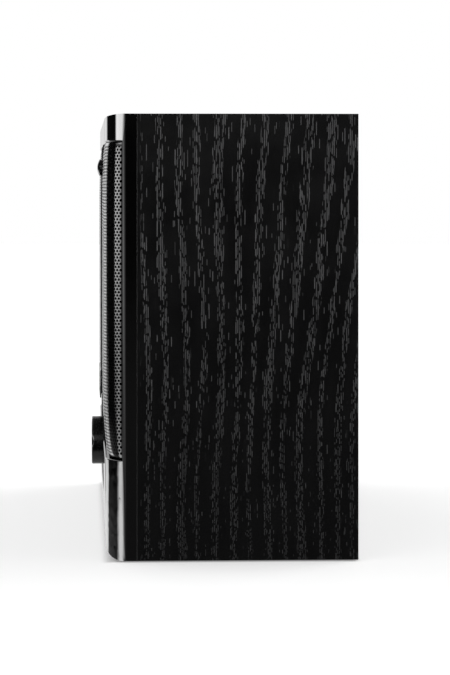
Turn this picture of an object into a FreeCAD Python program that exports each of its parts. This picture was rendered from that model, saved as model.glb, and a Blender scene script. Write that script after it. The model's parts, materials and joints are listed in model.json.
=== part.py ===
"""Table-top digital audio player: a wood cabinet with a glossy front bezel, two wrap-round grilles and a
centre control column.  Millimetres.  +Z is up, the front faces -Y, and the origin is under the middle
of the object, on the surface that it stands on."""
import FreeCAD, Part
import math
import os

V = FreeCAD.Vector

# ---- driving dimensions -------------------------------------------------------------------------
WIDTH = 300.0             # outside, side to side
HEIGHT = 200.0            # from the table to the top
FOOT = 0.6                # how far the stick-on feet stand proud
WOOD_DEPTH = 99.1         # cabinet, front edge to back edge
FLANK = 4.8               # flat glossy side of the bezel
NOSE = 9.4                # rounded part of the bezel, ahead of its flat side
KNOB_STANDS = 5.3         # knob face ahead of the bezel face
WALL = 12.0               # cabinet board
BEZEL_WALL = 2.8
BEZEL_CORNER = 18.0       # how far in from the side the bezel's corner curve starts
TOP_BAND = 12.6           # bezel above the grilles
BOTTOM_BAND = 44.8        # bezel below the grilles
GRILLE_CORNER = 18.6      # how far in from the side the grille's corner curve starts
GRILLE_PROUD = 0.4        # grille crest ahead of the bezel face
SHEET = 0.8               # grille sheet
GRILLE_GAP = 0.2
FOOT_GAP = 1.2            # the wider shadow gap under a grille
FASCIA_HALF = 41.0        # half width of the centre control column
MULLION = 4.0             # bezel strip between the column and each grille
FASCIA_BACK = 2.0         # fascia face behind the bezel face
FASCIA_THICK = 3.0
FASCIA_BOTTOM = 17.4      # height of the column's lower edge above the bezel's
DRIVER_X = 94.0           # driver centre, from the middle
POD_Z = 117.05            # and its height
DRIVER_HOLE = 36.0
KNOB_R = 12.0
KNOB_Z = 39.4
KNOB_TRAVEL = 0.5
DIMPLE_R = 5.5            # ball that hollows the finger dimple in the knob's face
DIMPLE_DEPTH = 1.2
STANDBY_Z = 177.1
STANDBY_R = 4.1
KEY_ROWS = (72.95, 66.0)  # middle of each row of keys, upper and lower
KEY_HEIGHTS = (7.3, 6.0)
KEY_PITCH = 18.2
KEY_TRAVEL = 0.6
LENS_HALF = 35.0
LENS_Z = 128.0
REAR_INSET = 2.0          # rear panel behind the cabinet's back edge
REAR_THICK = 3.0
JACK_R = 1.8              # 3.5 mm plug hole
CONNECTOR_Z = 40.0

# ---- positions worked out from them ---------------------------------------------------------------
DEPTH = WOOD_DEPTH + FLANK + NOSE + KNOB_STANDS
Y_BACK = DEPTH / 2
Y_WOOD = Y_BACK - WOOD_DEPTH
Y_FLANK = Y_WOOD - FLANK
Y_FACE = Y_FLANK - NOSE
Y_KNOB = Y_FACE - KNOB_STANDS
HALF = WIDTH / 2
INNER = HALF - WALL
FLOOR_Z = FOOT + WALL
CEILING_Z = HEIGHT - WALL
POD_LOW = FOOT + BOTTOM_BAND
POD_HIGH = HEIGHT - TOP_BAND
POD_INNER = FASCIA_HALF + MULLION
POD_EDGE_Y = Y_FLANK - 1.6          # where the grille's outer edge meets the bezel's side
BAFFLE_THICK = 9.0
Y_BAFFLE = Y_WOOD                   # front of the baffle
Y_BAFFLE_BACK = Y_BAFFLE + BAFFLE_THICK
Y_FASCIA = Y_FACE + FASCIA_BACK
Y_FASCIA_BACK = Y_FASCIA + FASCIA_THICK
FASCIA_LOW = FOOT + FASCIA_BOTTOM
Y_BOARD = Y_BAFFLE + 3.8            # front face of the front board
BOARD_THICK = 1.6
Y_REAR = Y_BACK - REAR_INSET        # outer face of the rear panel
Y_REAR_IN = Y_REAR - REAR_THICK
STANDOFF = 10.7
Y_MAIN = Y_REAR_IN - STANDOFF       # rear face of the main board
PARTITION_X = 44.0
PARTITION_THICK = 6.0
BLOCK = 16.0
BLOCK_MID = BLOCK / 2
SIDES = (("left", -1), ("right", 1))

# fasteners: radius of head and shank, height of head
WOOD_SCREW = (3.2, 1.4, 1.8)
MACHINE_SCREW = (2.4, 1.25, 1.5)

os.makedirs("parts", exist_ok=True)


# ---- helpers --------------------------------------------------------------------------------------
def save(name, shape):
    """Write one node."""
    shape.exportStep("parts/%s.step" % name)
    print(name, "solids", len(shape.Solids), "volume", round(shape.Volume, 1), "valid", shape.isValid())


def box(x0, x1, y0, y1, z0, z1):
    return Part.makeBox(x1 - x0, y1 - y0, z1 - z0, V(x0, y0, z0))


def rod(x, z, radius, y0, y1):
    """Cylinder along Y."""
    return Part.makeCylinder(radius, y1 - y0, V(x, y0, z), V(0, 1, 0))


def polygon(points, sweep):
    """Solid from a closed outline and a straight sweep."""
    wire = Part.makePolygon(list(points) + [points[0]])
    return Part.Face(wire).extrude(sweep)


def turned(points, x, z):
    """Solid turned about the Y line through (x, z), from an outline of (radius, y) points."""
    outline = [V(x + radius, y, z) for radius, y in points]
    wire = Part.makePolygon(outline + [outline[0]])
    return Part.Face(wire).revolve(V(x, 0, z), V(0, 1, 0), 360)


def turned_edges(edges, x, z):
    """As turned, from a list of edges that close an outline."""
    return Part.Face(Part.Wire(edges)).revolve(V(x, 0, z), V(0, 1, 0), 360)


def quarter_ellipse(centre, tip_a, tip_b):
    """Edge from tip_a to tip_b, a quarter of the ellipse about centre with those two tips."""
    a = (tip_a - centre).Length
    b = (tip_b - centre).Length
    if a >= b:
        ellipse = Part.Ellipse(tip_a, tip_b, centre)
        return Part.ArcOfEllipse(ellipse, 0, math.pi / 2).toShape()
    ellipse = Part.Ellipse(tip_b, tip_a, centre)
    return Part.ArcOfEllipse(ellipse, 0, math.pi / 2).toShape()


def joined(edges, sweep):
    """Solid from loose edges that close an outline, and a straight sweep."""
    wire = Part.Wire(Part.__sortEdges__(edges))
    return Part.Face(wire).extrude(sweep)


def line(a, b):
    return Part.LineSegment(a, b).toShape()


def screw(x, z, y_seat, way, size, length):
    """Pan-head cross-recess screw along Y.  Its head is seated at y_seat; way is +1 if it goes in along +Y."""
    head_r, shank_r, head_h = size
    y_top = y_seat - way * head_h
    head = rod(x, z, head_r, min(y_seat, y_top), max(y_seat, y_top))
    y_tip = y_seat + way * length
    shank = rod(x, z, shank_r, min(y_seat, y_tip), max(y_seat, y_tip))
    slot_half = head_r * 0.55
    slot_w = 0.35
    slot_y = y_top + way * head_h * 0.45
    low, high = min(y_top, slot_y), max(y_top, slot_y)
    across = box(x - slot_half, x + slot_half, low, high, z - slot_w, z + slot_w)
    upright = box(x - slot_w, x + slot_w, low, high, z - slot_half, z + slot_half)
    return head.fuse(shank).cut(across).cut(upright)


def at_corners(x, z_low, z_high):
    """The four places (+-x, z_low) and (+-x, z_high)."""
    return [(side * x, z) for side in (-1, 1) for z in (z_low, z_high)]


# ---- cabinet ----------------------------------------------------------------------------------------
def cabinet_panel(side):
    """One mitred board of the cabinet; side is left, right, top or bottom."""
    corners = {
        "left": [(-HALF, FOOT), (-HALF, HEIGHT), (-INNER, CEILING_Z), (-INNER, FLOOR_Z)],
        "right": [(HALF, FOOT), (HALF, HEIGHT), (INNER, CEILING_Z), (INNER, FLOOR_Z)],
        "top": [(-HALF, HEIGHT), (HALF, HEIGHT), (INNER, CEILING_Z), (-INNER, CEILING_Z)],
        "bottom": [(-HALF, FOOT), (HALF, FOOT), (INNER, FLOOR_Z), (-INNER, FLOOR_Z)],
    }
    return polygon([V(x, Y_WOOD, z) for x, z in corners[side]], V(0, WOOD_DEPTH, 0))


BLOCK_PLACES = at_corners(INNER - BLOCK_MID, FLOOR_Z + BLOCK_MID, CEILING_Z - BLOCK_MID)
PARTITION_MID = PARTITION_X + PARTITION_THICK / 2
PARTITION_PLACES = at_corners(PARTITION_MID, FLOOR_Z + 10, CEILING_Z - 10)
REAR_SCREW_LENGTH = 16.0
BAFFLE_SCREW_LENGTH = 20.0


def corner_blocks():
    """Glue blocks in the cabinet's corners, which take the baffle and rear-panel screws."""
    blocks = []
    for x, z in BLOCK_PLACES:
        block = box(x - BLOCK_MID, x + BLOCK_MID, Y_BAFFLE_BACK, Y_REAR_IN, z - BLOCK_MID, z + BLOCK_MID)
        front_hole = rod(x, z, WOOD_SCREW[1], Y_BAFFLE_BACK, Y_BAFFLE + BAFFLE_SCREW_LENGTH)
        rear_hole = rod(x, z, WOOD_SCREW[1], Y_REAR - REAR_SCREW_LENGTH, Y_REAR_IN)
        blocks.append(block.cut(front_hole).cut(rear_hole))
    return Part.makeCompound(blocks)


def partition(side):
    """Board between a speaker chamber and the electronics."""
    x0, x1 = sorted((side * PARTITION_X, side * (PARTITION_X + PARTITION_THICK)))
    board = box(x0, x1, Y_BAFFLE_BACK, Y_REAR_IN, FLOOR_Z, CEILING_Z)
    for x, z in PARTITION_PLACES:
        board = board.cut(rod(x, z, WOOD_SCREW[1], Y_REAR - REAR_SCREW_LENGTH, Y_REAR_IN))
    return board


def cabinet_screws():
    """Wood screws: baffle to glue blocks, and rear panel to glue blocks and partitions."""
    screws = []
    for x, z in BLOCK_PLACES:
        screws.append(screw(x, z, Y_BAFFLE, 1, WOOD_SCREW, BAFFLE_SCREW_LENGTH))
    for x, z in BLOCK_PLACES + PARTITION_PLACES:
        screws.append(screw(x, z, Y_REAR, -1, WOOD_SCREW, REAR_SCREW_LENGTH))
    return Part.makeCompound(screws)


def feet():
    """Four stick-on pads with a small chamfer."""
    pads = []
    for x in (-128.0, 128.0):
        for y in (Y_WOOD + 14, Y_BACK - 16):
            disc = Part.makeCylinder(8.0, FOOT, V(x, y, 0))
            rim = [edge for edge in disc.Edges if abs(edge.BoundBox.ZMax) < 0.01]
            pads.append(disc.makeChamfer(0.2, rim))
    return Part.makeCompound(pads)


# ---- front bezel --------------------------------------------------------------------------------------
BEZEL_BOSSES = ((-125.0, 32.0), (-54.0, 32.0), (54.0, 32.0), (125.0, 32.0))
TOP_DROP = 1.8            # height of the eased top edge
BOTTOM_DROP = 5.0         # height of the rounded bottom edge
BOTTOM_LEAN = 0.7         # how far the lower band leans back at its foot
BOTTOM_NOSE = 7.6
LIP_TOP = 0.8             # rounding of the top band's edge over the grilles
LIP_BOTTOM = 0.5


def front_plan(half, y_back, y_tangent, y_face, corner, low, high):
    """Body with elliptical vertical corners: its outline is in plan, swept from low to high."""
    edges = [
        line(V(-half, y_back, low), V(half, y_back, low)),
        line(V(half, y_back, low), V(half, y_tangent, low)),
        quarter_ellipse(V(half - corner, y_tangent, low), V(half, y_tangent, low),
                        V(half - corner, y_face, low)),
        line(V(half - corner, y_face, low), V(-half + corner, y_face, low)),
        quarter_ellipse(V(-half + corner, y_tangent, low), V(-half, y_tangent, low),
                        V(-half + corner, y_face, low)),
        line(V(-half, y_tangent, low), V(-half, y_back, low)),
    ]
    return joined(edges, V(0, 0, high - low))


def bezel_profile():
    """The bezel's side view, swept across its width: eased top edge, flat face, rounded foot."""
    x = -HALF - 1
    y_foot = Y_FACE + BOTTOM_LEAN
    top_tip = V(x, Y_FACE, HEIGHT - TOP_DROP)
    band = V(x, Y_FACE, POD_LOW)
    foot_tip = V(x, y_foot, FOOT + BOTTOM_DROP)
    foot_end = V(x, y_foot + BOTTOM_NOSE, FOOT)
    edges = [
        line(V(x, Y_WOOD, FOOT), V(x, Y_WOOD, HEIGHT)),
        line(V(x, Y_WOOD, HEIGHT), V(x, Y_FLANK, HEIGHT)),
        quarter_ellipse(V(x, Y_FLANK, HEIGHT - TOP_DROP), V(x, Y_FLANK, HEIGHT), top_tip),
        line(top_tip, band),
        line(band, foot_tip),
        quarter_ellipse(V(x, y_foot + BOTTOM_NOSE, FOOT + BOTTOM_DROP), foot_tip, foot_end),
        line(foot_end, V(x, Y_WOOD, FOOT)),
    ]
    return joined(edges, V(WIDTH + 2, 0, 0))


def lip_rounding(z, radius, way):
    """What is cut off to round a band's edge where it turns in over a grille; way is +1 above it."""
    low, high = sorted((z, z + way * 3 * radius))
    band = front_plan(HALF, Y_WOOD, Y_FLANK, Y_FACE, BEZEL_CORNER, low, high)
    rims = [edge for edge in band.Edges if abs(edge.CenterOfMass.z - z) < 0.01
            and edge.BoundBox.YMin < Y_FLANK - 1]
    offcut = band.cut(band.makeFillet(radius, rims))
    over_grilles = [box(*sorted((side * POD_INNER, side * (HALF + 1))), Y_KNOB, POD_EDGE_Y, low, high)
                    for _, side in SIDES]
    return offcut.common(Part.makeCompound(over_grilles))


def front_bezel():
    """Moulded frame with two grille openings that run round its corners and one for the fascia."""
    body = front_plan(HALF, Y_WOOD, Y_FLANK, Y_FACE, BEZEL_CORNER, FOOT, HEIGHT)
    body = body.common(bezel_profile())
    inner_half = HALF - 3.0
    cavity = front_plan(inner_half, Y_WOOD, Y_FLANK + 1.0, Y_FACE + BEZEL_WALL,
                        BEZEL_CORNER - 2.0, FOOT + 3.5, HEIGHT - 3.5)
    body = body.cut(cavity)
    for x, z in BEZEL_BOSSES:
        body = body.fuse(rod(x, z, 4.0, Y_FACE + BEZEL_WALL - 0.5, Y_BAFFLE))
        body = body.cut(rod(x, z, MACHINE_SCREW[1], Y_BAFFLE - 7.0, Y_BAFFLE))
    chamfer = 0.3
    for _, side in SIDES:
        x0, x1 = sorted((side * POD_INNER, side * (HALF + 1)))
        body = body.cut(box(x0, x1, Y_KNOB, POD_EDGE_Y, POD_LOW, POD_HIGH))
        bevel = [(HALF + 0.1, POD_EDGE_Y - 0.1), (HALF + 0.1, POD_EDGE_Y + chamfer),
                 (HALF - chamfer, POD_EDGE_Y - 0.1)]
        wedge = polygon([V(side * x, y, POD_LOW) for x, y in bevel], V(0, 0, POD_HIGH - POD_LOW))
        body = body.cut(wedge)
    body = body.cut(box(-FASCIA_HALF, FASCIA_HALF, Y_KNOB, Y_WOOD - 1, FASCIA_LOW, POD_HIGH))
    body = body.cut(lip_rounding(POD_HIGH, LIP_TOP, 1))
    return body.cut(lip_rounding(POD_LOW, LIP_BOTTOM, -1))


# ---- grilles --------------------------------------------------------------------------------------------
CREST_TOP = 30.0          # height over which the crest curves back at the top
CREST_TOP_FALL = 1.1      # and by how much
CREST_BOTTOM = 26.0       # the same at the bottom
CREST_BOTTOM_FALL = 2.6


def pillow(side, skin):
    """A grille's outer form, or its hollow when skin is the sheet's thickness."""
    half = HALF - 0.8 - skin
    inner = POD_INNER + GRILLE_GAP + skin
    crest_y = Y_FACE - GRILLE_PROUD + skin
    low = POD_LOW + FOOT_GAP + skin
    high = POD_HIGH - GRILLE_GAP - skin
    y_open = POD_EDGE_Y + (1.0 if skin else 0.0)
    crest_x = HALF - 0.8 - GRILLE_CORNER
    plan = [
        line(V(side * inner, y_open, low), V(side * half, y_open, low)),
        quarter_ellipse(V(side * crest_x, POD_EDGE_Y, low), V(side * half, POD_EDGE_Y, low),
                        V(side * crest_x, crest_y, low)),
        line(V(side * crest_x, crest_y, low), V(side * (inner + 3), crest_y, low)),
        Part.Arc(V(side * (inner + 3), crest_y, low), V(side * (inner + 0.88), crest_y + 0.88, low),
                 V(side * inner, crest_y + 3, low)).toShape(),
        line(V(side * inner, crest_y + 3, low), V(side * inner, y_open, low)),
    ]
    if skin:
        plan.append(line(V(side * half, y_open, low), V(side * half, POD_EDGE_Y, low)))
    form = joined(plan, V(0, 0, high - low))
    x = side * (POD_INNER - 5)
    high_tip = V(x, crest_y, high - CREST_TOP)
    low_tip = V(x, crest_y, low + CREST_BOTTOM)
    high_y = crest_y + CREST_TOP_FALL
    low_y = crest_y + CREST_BOTTOM_FALL
    profile = [
        line(V(x, y_open, low), V(x, y_open, high)),
        line(V(x, y_open, high), V(x, high_y, high)),
        quarter_ellipse(V(x, high_y, high - CREST_TOP), V(x, high_y, high), high_tip),
        line(high_tip, low_tip),
        quarter_ellipse(V(x, low_y, low + CREST_BOTTOM), low_tip, V(x, low_y, low)),
        line(V(x, low_y, low), V(x, y_open, low)),
    ]
    return form.common(joined(profile, V(side * (HALF - POD_INNER + 10), 0, 0)))


def grille(side):
    """Pressed sheet cover: a shallow tray with returned edges and six fixing tabs."""
    shell = pillow(side, 0.0).cut(pillow(side, SHEET))
    tab_half = 5.0
    low = POD_LOW + FOOT_GAP
    high = POD_HIGH - GRILLE_GAP
    for x in (POD_INNER + 22, HALF - 32):
        x0, x1 = sorted((side * (x - tab_half), side * (x + tab_half)))
        shell = shell.fuse(box(x0, x1, POD_EDGE_Y - 1, Y_BAFFLE, low, low + SHEET))
        shell = shell.fuse(box(x0, x1, POD_EDGE_Y - 1, Y_BAFFLE, high - SHEET, high))
    inner = POD_INNER + GRILLE_GAP
    x0, x1 = sorted((side * inner, side * (inner + SHEET)))
    for z in (POD_Z - 40, POD_Z + 40):
        shell = shell.fuse(box(x0, x1, POD_EDGE_Y - 1, Y_BAFFLE, z - tab_half, z + tab_half))
    return shell.removeSplitter()


# ---- baffle and drivers -----------------------------------------------------------------------------------
DRIVER_SCREW_R = 38.7     # radius of the driver's screw circle
DRIVER_SCREWS = [(side * DRIVER_X + DRIVER_SCREW_R * math.cos(math.radians(angle)),
                  POD_Z + DRIVER_SCREW_R * math.sin(math.radians(angle)))
                 for side in (-1, 1) for angle in (45, 135, 225, 315)]
FLANGE_Y = Y_BAFFLE - 2.5
DRIVER_SCREW_LENGTH = 10.0
FRONT_BOARD_HALF = 36.0
FRONT_BOARD_LOW = FASCIA_LOW + 3.0
FRONT_BOARD_HIGH = CEILING_Z - 5.0


def front_baffle():
    """Board that carries the two drivers, open in the middle for the controls."""
    gap = 0.2
    board = box(-INNER + gap, INNER - gap, Y_BAFFLE, Y_BAFFLE_BACK, FLOOR_Z + gap, CEILING_Z - gap)
    for _, side in SIDES:
        board = board.cut(rod(side * DRIVER_X, POD_Z, DRIVER_HOLE, Y_BAFFLE, Y_BAFFLE_BACK))
    board = board.cut(box(-FRONT_BOARD_HALF - 1, FRONT_BOARD_HALF + 1, Y_BAFFLE, Y_BAFFLE_BACK,
                          FRONT_BOARD_LOW - 1, FRONT_BOARD_HIGH + 1))
    for x, z in BLOCK_PLACES:
        board = board.cut(rod(x, z, WOOD_SCREW[1], Y_BAFFLE, Y_BAFFLE_BACK))
    for x, z in DRIVER_SCREWS:
        board = board.cut(rod(x, z, WOOD_SCREW[1], Y_BAFFLE, FLANGE_Y + DRIVER_SCREW_LENGTH))
    for x, z in BEZEL_BOSSES:
        board = board.cut(rod(x, z, MACHINE_SCREW[1] + 0.15, Y_BAFFLE, Y_BAFFLE_BACK))
    return board


CONE_R = 26.0             # outer edge of the paper cone
NECK_R = 10.4             # outer radius of the voice-coil tube
ROLL_R = 3.0              # radius of the surround's half roll
SEAT_Y = FLANGE_Y + 1.7   # face that the surround's lip is glued to
MOTOR_Y = Y_BAFFLE + 29.3  # front of the magnet's top plate


def driver_basket(x):
    """Pressed steel frame with four windows."""
    shell = turned([(41, FLANGE_Y), (41, Y_BAFFLE), (35.6, Y_BAFFLE), (21.5, MOTOR_Y - 1.5),
                    (21.5, MOTOR_Y), (12, MOTOR_Y), (12, MOTOR_Y - 1.5), (20, MOTOR_Y - 1.5),
                    (33.8, Y_BAFFLE + 0.8), (33.8, SEAT_Y), (36.5, SEAT_Y), (36.5, FLANGE_Y)], x, POD_Z)
    for angle in (0, 90, 180, 270):
        way = V(math.cos(math.radians(angle)), 0, math.sin(math.radians(angle)))
        window = Part.makeCylinder(7.0, 45, V(x, Y_BAFFLE + 15, POD_Z), way)
        shell = shell.cut(window)
    for screw_x, screw_z in DRIVER_SCREWS:
        shell = shell.cut(rod(screw_x, screw_z, WOOD_SCREW[1] + 0.1, FLANGE_Y, Y_BAFFLE))
    return shell


def driver_surround(x):
    """Rubber half roll with an outer lip."""
    lip = 0.6
    mid = CONE_R + 0.3 + ROLL_R
    root_y = SEAT_Y - lip
    inner = mid - ROLL_R
    outer = mid + ROLL_R
    roof = ROLL_R - lip

    def point(radius, y):
        return V(x + radius, y, POD_Z)

    edges = [
        Part.Arc(point(outer, root_y), point(mid, root_y - ROLL_R), point(inner, root_y)).toShape(),
        line(point(inner, root_y), point(inner + lip, root_y)),
        Part.Arc(point(inner + lip, root_y), point(mid, root_y - roof),
                 point(outer - lip, root_y)).toShape(),
        line(point(outer - lip, root_y), point(outer - lip, SEAT_Y)),
        line(point(outer - lip, SEAT_Y), point(36.3, SEAT_Y)),
        line(point(36.3, SEAT_Y), point(36.3, root_y)),
        line(point(36.3, root_y), point(outer, root_y)),
    ]
    return turned_edges(edges, x, POD_Z)


def driver_cone(x):
    """Paper cone, from the coil tube out to the surround."""
    rim_y = SEAT_Y - 0.6
    neck_y = Y_BAFFLE + 10.0
    skin = 0.7
    return turned([(CONE_R, rim_y), (CONE_R, rim_y + skin), (NECK_R, neck_y + skin), (NECK_R, neck_y)],
                  x, POD_Z)


DOME_Y = Y_BAFFLE + 9.3   # front end of the coil tube, where the dust cap sits


def dust_cap(x):
    """Shallow dome that closes the coil tube."""
    base = NECK_R - 0.1
    skin = 0.5
    rise = 3.5

    def dome(radius, height):
        """Quarter outline of the dome: from its rim to its top."""
        sphere = (radius * radius + height * height) / (2 * height)
        half_angle = math.asin(radius / sphere) / 2
        middle = V(x + sphere * math.sin(half_angle), DOME_Y - height + sphere * (1 - math.cos(half_angle)),
                   POD_Z)
        return Part.Arc(V(x + radius, DOME_Y, POD_Z), middle, V(x, DOME_Y - height, POD_Z)).toShape()

    edges = [dome(base, rise), line(V(x, DOME_Y - rise, POD_Z), V(x, DOME_Y - rise + skin, POD_Z)),
             dome(base - skin, rise - skin), line(V(x + base - skin, DOME_Y, POD_Z),
                                                  V(x + base, DOME_Y, POD_Z))]
    wire = Part.Wire(Part.__sortEdges__(edges))
    return Part.Face(wire).revolve(V(x, 0, POD_Z), V(0, 1, 0), 360)


def voice_coil(x):
    """Coil tube with its winding at the motor end."""
    tube_r = NECK_R - 0.3
    return turned([(NECK_R - 0.8, DOME_Y), (NECK_R, DOME_Y), (NECK_R, DOME_Y + 4), (tube_r, DOME_Y + 4),
                   (tube_r, MOTOR_Y - 2), (NECK_R, MOTOR_Y - 2), (NECK_R, MOTOR_Y + 5),
                   (NECK_R - 0.8, MOTOR_Y + 5)], x, POD_Z)


def driver_spider(x):
    """Corrugated cloth ring that centres the coil."""
    y = Y_BAFFLE + 17.8
    skin = 0.5
    front, back = [], []
    for step in range(7):
        radius = NECK_R + 0.4 + step * 2.3
        rise = 0.6 if step % 2 else -0.6
        front.append((radius, y + rise))
        back.append((radius, y + rise + skin))
    return turned(front + back[::-1], x, POD_Z)


def driver_magnet(x):
    """Ferrite ring between its two steel plates, with the pole piece."""
    plate_y = MOTOR_Y + 4
    back_y = MOTOR_Y + 15.5
    pole_r = NECK_R - 1.2
    slot_r = NECK_R + 0.6
    return turned([(0, back_y + 4), (27, back_y + 4), (27, back_y), (30, back_y), (30, plate_y),
                   (27, plate_y), (27, MOTOR_Y), (slot_r, MOTOR_Y), (slot_r, plate_y), (13, plate_y),
                   (13, back_y), (pole_r, back_y), (pole_r, MOTOR_Y), (0, MOTOR_Y)], x, POD_Z)


def driver_screws():
    return Part.makeCompound([screw(x, z, FLANGE_Y, 1, (2.2, WOOD_SCREW[1], 1.4), DRIVER_SCREW_LENGTH)
                              for x, z in DRIVER_SCREWS])


# ---- centre control column ------------------------------------------------------------------------------------
FASCIA_BOSSES = at_corners(32.0, FRONT_BOARD_LOW + 4, FRONT_BOARD_HIGH - 4)
KEY_GAP = 0.3
KEY_W = KEY_PITCH - KEY_GAP
UPPER_HALF, LOWER_HALF = KEY_HEIGHTS[0] / 2, KEY_HEIGHTS[1] / 2
KEY_COLUMNS = (("left", -KEY_PITCH), ("centre", 0.0), ("right", KEY_PITCH))
KEY_STEM_R = 1.5
Y_KEY = Y_FACE - 1.4      # key faces
SWITCH_HEIGHT = 3.6
Y_STEM = Y_BOARD - SWITCH_HEIGHT - 0.5 - KEY_TRAVEL - 0.1   # back ends of the key and button stems
BUSH_R = 3.5              # encoder's threaded bush
SHAFT_R = 3.0
SHAFT_FLAT = 1.5          # the shaft's flat, from its axis
RUNNING = 0.05            # radial clearance of the running fits


def centre_fascia():
    """Control panel, set back from the bezel, with bosses for the front board."""
    gap = 0.2
    plate = box(-FASCIA_HALF + gap, FASCIA_HALF - gap, Y_FASCIA, Y_FASCIA_BACK,
                FASCIA_LOW + gap, POD_HIGH - gap)
    opening = LENS_HALF - 2.5
    rebate = LENS_HALF + 0.1
    plate = plate.cut(box(-opening, opening, Y_FASCIA, Y_FASCIA_BACK, LENS_Z - opening, LENS_Z + opening))
    plate = plate.cut(box(-rebate, rebate, Y_FASCIA, Y_FASCIA + 1.6, LENS_Z - rebate, LENS_Z + rebate))
    cluster = 1.5 * KEY_PITCH + 0.15
    plate = plate.cut(box(-cluster, cluster, Y_FASCIA, Y_FASCIA_BACK,
                          KEY_ROWS[0] - UPPER_HALF - KEY_GAP, KEY_ROWS[0] + UPPER_HALF + KEY_GAP))
    for _, x in KEY_COLUMNS:
        plate = plate.cut(rod(x, KEY_ROWS[1], KEY_STEM_R + 0.3, Y_FASCIA, Y_FASCIA_BACK))
    plate = plate.cut(rod(0, STANDBY_Z, STANDBY_R + 0.2, Y_FASCIA, Y_FASCIA_BACK))
    plate = plate.cut(rod(0, KNOB_Z, BUSH_R + 0.2, Y_FASCIA, Y_FASCIA_BACK))
    for x, z in FASCIA_BOSSES:
        boss = rod(x, z, 3.0, Y_FASCIA_BACK - 0.5, Y_BOARD)
        plate = plate.fuse(boss).cut(rod(x, z, MACHINE_SCREW[1], Y_BOARD - 8, Y_BOARD))
    return plate.removeSplitter()


def display_lens():
    """Flush smoked window with softened edges."""
    pane = box(-LENS_HALF, LENS_HALF, Y_FASCIA, Y_FASCIA + 1.6, LENS_Z - LENS_HALF, LENS_Z + LENS_HALF)
    uprights = [edge for edge in pane.Edges if edge.BoundBox.YLength > 1]
    return pane.makeFillet(0.4, uprights)


def display_module():
    """Display panel in its metal frame, behind the window."""
    half = LENS_HALF - 1.0
    frame = box(-half, half, Y_FASCIA_BACK, Y_FASCIA_BACK + 4, LENS_Z - half, LENS_Z + half)
    glass = half - 3.0
    return frame.cut(box(-glass, glass, Y_FASCIA_BACK, Y_FASCIA_BACK + 0.5, LENS_Z - 24, LENS_Z + 26))


def switch_places():
    """Tact switches: one behind each key and one behind the standby button."""
    places = [(x, z) for z in KEY_ROWS for _, x in KEY_COLUMNS]
    return places + [(0.0, STANDBY_Z)]


def front_board():
    board = box(-FRONT_BOARD_HALF, FRONT_BOARD_HALF, Y_BOARD, Y_BOARD + BOARD_THICK,
                FRONT_BOARD_LOW, FRONT_BOARD_HIGH)
    for x, z in FASCIA_BOSSES:
        board = board.cut(rod(x, z, MACHINE_SCREW[1] + 0.15, Y_BOARD, Y_BOARD + BOARD_THICK))
    return board


def tact_switches():
    switches = []
    half = 2.6
    for x, z in switch_places():
        body = box(x - half, x + half, Y_BOARD - SWITCH_HEIGHT, Y_BOARD, z - half, z + half)
        switches.append(body.fuse(rod(x, z, 1.6, Y_BOARD - SWITCH_HEIGHT - 0.5, Y_BOARD - 1)))
    return Part.makeCompound(switches)


ENCODER_DEPTH = 6.5
Y_ENCODER = Y_BOARD - ENCODER_DEPTH
Y_BUSH = Y_FASCIA - 2.4


def d_section(radius, flat, y0, y1):
    """Round bar along Y on the knob's axis, with one flat."""
    bar = rod(0, KNOB_Z, radius, y0, y1)
    return bar.cut(box(-radius - 1, radius + 1, y0 - 1, y1 + 1, KNOB_Z + flat, KNOB_Z + radius + 1))


def encoder_body():
    """Push encoder's case and threaded bush."""
    case = box(-6, 6, Y_ENCODER, Y_BOARD, KNOB_Z - 6.2, KNOB_Z + 6.2)
    case = case.fuse(rod(0, KNOB_Z, BUSH_R, Y_BUSH, Y_ENCODER + 1))
    case = case.cut(rod(0, KNOB_Z, SHAFT_R + RUNNING, Y_BUSH, Y_BOARD - 2))
    return case.cut(rod(0, KNOB_Z, 4.9, Y_ENCODER + 0.8, Y_BOARD - 1.5))


def encoder_nut():
    """Hexagon nut that clamps the bush to the fascia, under the knob."""
    across = 5.0
    corner = across / math.cos(math.radians(30))
    points = [V(corner * math.cos(math.radians(60 * k)), Y_FASCIA - 2.0,
                KNOB_Z + corner * math.sin(math.radians(60 * k))) for k in range(6)]
    return polygon(points, V(0, 2.0, 0)).cut(rod(0, KNOB_Z, BUSH_R, Y_FASCIA - 2.0, Y_FASCIA))


def encoder_rotor():
    """Contact rotor, keyed to the shaft, which slides through it when the knob is pressed."""
    y0, y1 = Y_ENCODER + 1.1, Y_BOARD - 1.9
    disc = rod(0, KNOB_Z, 4.6, y0, y1)
    return disc.cut(d_section(SHAFT_R + RUNNING, SHAFT_FLAT + RUNNING, y0, y1))


def encoder_shaft():
    return d_section(SHAFT_R, SHAFT_FLAT, Y_KNOB + 1.1, Y_BOARD - 1.5 - KNOB_TRAVEL - 0.2)


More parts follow.
